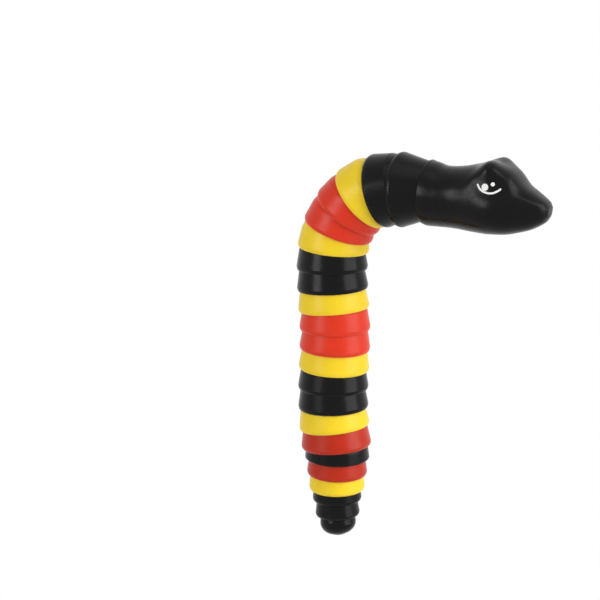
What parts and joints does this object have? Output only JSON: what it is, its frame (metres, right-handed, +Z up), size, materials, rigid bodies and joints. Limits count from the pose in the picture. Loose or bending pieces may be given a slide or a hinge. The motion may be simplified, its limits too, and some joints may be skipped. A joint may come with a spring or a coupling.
{
  "type": "articulated snake toy",
  "caption": "Hanging jointed plastic snake of nested cup-shaped links that hinge in one plane, with a moulded head and a blunt tail tip",
  "frame": {"origin": "at the hinge in front of the first red link, where the thumb holds the snake, on the hinge axis and in the plane of bending", "axes": "+Z up, with the body hanging along -Z; +X the way the head points; +Y along every hinge axis, away from the side that the picture shows"},
  "size_m": [0.1061, 0.0298, 0.1638],
  "materials": {
    "black_plastic": "satin moulded plastic",
    "yellow_plastic": "satin moulded plastic",
    "red_plastic": "satin moulded plastic"
  },
  "bodies": {
    "head": {"head": "black_plastic"},
    "black_collar_1": {"black_collar_1": "black_plastic"},
    "black_collar_2": {"black_collar_2": "black_plastic"},
    "yellow_link_1": {"yellow_link_1": "yellow_plastic"},
    "red_link_1": {"red_link_1": "red_plastic"},
    "red_link_2": {"red_link_2": "red_plastic"},
    "yellow_link_2": {"yellow_link_2": "yellow_plastic"},
    "black_link_1": {"black_link_1": "black_plastic"},
    "black_link_2": {"black_link_2": "black_plastic"},
    "yellow_link_3": {"yellow_link_3": "yellow_plastic"},
    "red_link_3": {"red_link_3": "red_plastic"},
    "red_link_4": {"red_link_4": "red_plastic"},
    "yellow_link_4": {"yellow_link_4": "yellow_plastic"},
    "black_link_3": {"black_link_3": "black_plastic"},
    "black_link_4": {"black_link_4": "black_plastic"},
    "yellow_link_5": {"yellow_link_5": "yellow_plastic"},
    "red_link_5": {"red_link_5": "red_plastic"},
    "black_link_5": {"black_link_5": "black_plastic"},
    "red_link_6": {"red_link_6": "red_plastic"},
    "yellow_link_6": {"yellow_link_6": "yellow_plastic"},
    "black_link_6": {"black_link_6": "black_plastic"},
    "black_link_7": {"black_link_7": "black_plastic"},
    "tail_tip": {"tail_tip": "black_plastic"}
  },
  "joints": [
    {"name": "head_to_black_collar_1", "type": "hinge", "parent": "black_collar_1", "child": "head", "pos_m": [0.02784, 0, 0.00853], "axis": [0, 1, 0], "range_deg": [-22, 10]},
    {"name": "black_collar_1_to_black_collar_2", "type": "hinge", "parent": "black_collar_2", "child": "black_collar_1", "pos_m": [0.01585, 0, 0.00811], "axis": [0, 1, 0], "range_deg": [-38.5, 11.5]},
    {"name": "black_collar_2_to_yellow_link_1", "type": "hinge", "parent": "yellow_link_1", "child": "black_collar_2", "pos_m": [0.00679, 0, 0.0056], "axis": [0, 1, 0], "range_deg": [-49, 1]},
    {"name": "yellow_link_1_to_red_link_1", "type": "hinge", "parent": "red_link_1", "child": "yellow_link_1", "pos_m": [0, 0, 0], "axis": [0, 1, 0], "range_deg": [-40, 10]},
    {"name": "red_link_1_to_red_link_2", "type": "hinge", "parent": "red_link_1", "child": "red_link_2", "pos_m": [-0.00488, 0, -0.00684], "axis": [0, -1, 0], "range_deg": [-40, 10]},
    {"name": "red_link_2_to_yellow_link_2", "type": "hinge", "parent": "red_link_2", "child": "yellow_link_2", "pos_m": [-0.00782, 0, -0.01471], "axis": [0, -1, 0], "range_deg": [-40, 10]},
    {"name": "yellow_link_2_to_black_link_1", "type": "hinge", "parent": "yellow_link_2", "child": "black_link_1", "pos_m": [-0.00863, 0, -0.02307], "axis": [0, -1, 0], "range_deg": [-31.5, 18.5]},
    {"name": "black_link_1_to_black_link_2", "type": "hinge", "parent": "black_link_1", "child": "black_link_2", "pos_m": [-0.00848, 0, -0.03147], "axis": [0, 1, 0], "range_deg": [-22.5, 27.5]},
    {"name": "black_link_2_to_yellow_link_3", "type": "hinge", "parent": "black_link_2", "child": "yellow_link_3", "pos_m": [-0.00796, 0, -0.03985], "axis": [0, 1, 0], "range_deg": [-23.5, 26.5]},
    {"name": "yellow_link_3_to_red_link_3", "type": "hinge", "parent": "yellow_link_3", "child": "red_link_3", "pos_m": [-0.00723, 0, -0.04822], "axis": [0, 1, 0], "range_deg": [-29.5, 20.5]},
    {"name": "red_link_3_to_red_link_4", "type": "hinge", "parent": "red_link_3", "child": "red_link_4", "pos_m": [-0.00716, 0, -0.05662], "axis": [0, 1, 0], "range_deg": [-27.5, 22.5]},
    {"name": "red_link_4_to_yellow_link_4", "type": "hinge", "parent": "red_link_4", "child": "yellow_link_4", "pos_m": [-0.00745, 0, -0.06501], "axis": [0, 1, 0], "range_deg": [-25.5, 24.5]},
    {"name": "yellow_link_4_to_black_link_3", "type": "hinge", "parent": "yellow_link_4", "child": "black_link_3", "pos_m": [-0.00782, 0, -0.07341], "axis": [0, 1, 0], "range_deg": [-22.5, 27.5]},
    {"name": "black_link_3_to_black_link_4", "type": "hinge", "parent": "black_link_3", "child": "black_link_4", "pos_m": [-0.00782, 0, -0.08181], "axis": [0, 1, 0], "range_deg": [-22.5, 27.5]},
    {"name": "black_link_4_to_yellow_link_5", "type": "hinge", "parent": "black_link_4", "child": "yellow_link_5", "pos_m": [-0.00745, 0, -0.0902], "axis": [0, -1, 0], "range_deg": [-29.5, 20.5]},
    {"name": "yellow_link_5_to_red_link_5", "type": "hinge", "parent": "yellow_link_5", "child": "red_link_5", "pos_m": [-0.00643, 0, -0.09853], "axis": [0, -1, 0], "range_deg": [-23, 27]},
    {"name": "red_link_5_to_black_link_5", "type": "hinge", "parent": "red_link_5", "child": "black_link_5", "pos_m": [-0.00583, 0, -0.10541], "axis": [0, -1, 0], "range_deg": [-10, 20]},
    {"name": "black_link_5_to_red_link_6", "type": "hinge", "parent": "black_link_5", "child": "red_link_6", "pos_m": [-0.00583, 0, -0.11101], "axis": [0, -1, 0], "range_deg": [-14.5, 15.5]},
    {"name": "red_link_6_to_yellow_link_6", "type": "hinge", "parent": "red_link_6", "child": "yellow_link_6", "pos_m": [-0.00588, 0, -0.11721], "axis": [0, -1, 0], "range_deg": [-16.5, 13.5]},
    {"name": "yellow_link_6_to_black_link_6", "type": "hinge", "parent": "yellow_link_6", "child": "black_link_6", "pos_m": [-0.00578, 0, -0.12321], "axis": [0, -1, 0], "range_deg": [-16, 14]},
    {"name": "black_link_6_to_black_link_7", "type": "hinge", "parent": "black_link_6", "child": "black_link_7", "pos_m": [-0.00558, 0, -0.129], "axis": [0, -1, 0], "range_deg": [-16.5, 13.5]},
    {"name": "black_link_7_to_tail_tip", "type": "hinge", "parent": "black_link_7", "child": "tail_tip", "pos_m": [-0.0052, 0, -0.13519], "axis": [0, -1, 0], "range_deg": [-20, 10]}
  ]
}
